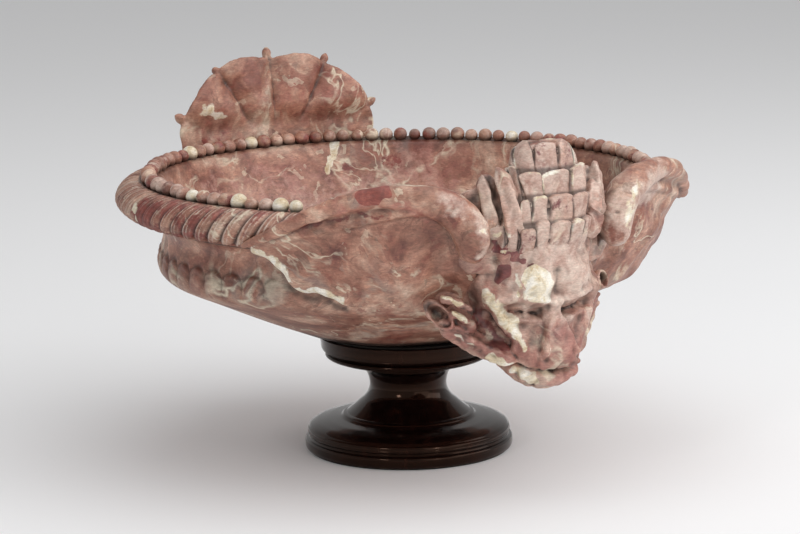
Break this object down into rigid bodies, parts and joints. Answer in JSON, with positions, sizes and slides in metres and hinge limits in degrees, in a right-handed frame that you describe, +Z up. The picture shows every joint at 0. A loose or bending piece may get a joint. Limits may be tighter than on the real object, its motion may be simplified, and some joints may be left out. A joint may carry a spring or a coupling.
{
  "type": "carved stone basin",
  "caption": "Round carved marble basin with a gadrooned and beaded rim, a winged beast mask in front and a ribbed fan behind, lifting off a turned wood socle.",
  "frame": {"origin": "middle of the felt under the socle's foot, on the surface it stands on", "axes": "+Z up, -Y towards the mask, +Y towards the fan, X across the wings"},
  "size_m": [0.5724, 0.5988, 0.384],
  "materials": {
    "bowl_marble": "polished red breccia marble, cream and grey veins",
    "wing_marble": "polished red breccia marble",
    "mask_marble": "carved pale pink marble, softly worn",
    "socle_wood": "dark polished hardwood",
    "felt": "pressed wool felt",
    "iron": "wrought, dull"
  },
  "bodies": {
    "socle": {"foot_felt": "felt", "socle_foot": "socle_wood", "socle_stem": "socle_wood", "socle_cap": "socle_wood", "seat_felt": "felt", "centre_rod": "iron", "rod_nuts": "iron", "rod_washers": "iron"},
    "basin": {"bowl": "bowl_marble", "mask": "mask_marble", "wing_left": "wing_marble", "wing_right": "wing_marble", "tail_fan": "bowl_marble", "mask_dowels": "iron", "wing_dowels": "iron", "fan_dowels": "iron"}
  },
  "joints": [
    {"name": "basin_lift", "type": "slide", "parent": "socle", "child": "basin", "axis": [0, 0, 1], "range_m": [0, 0.06]}
  ]
}
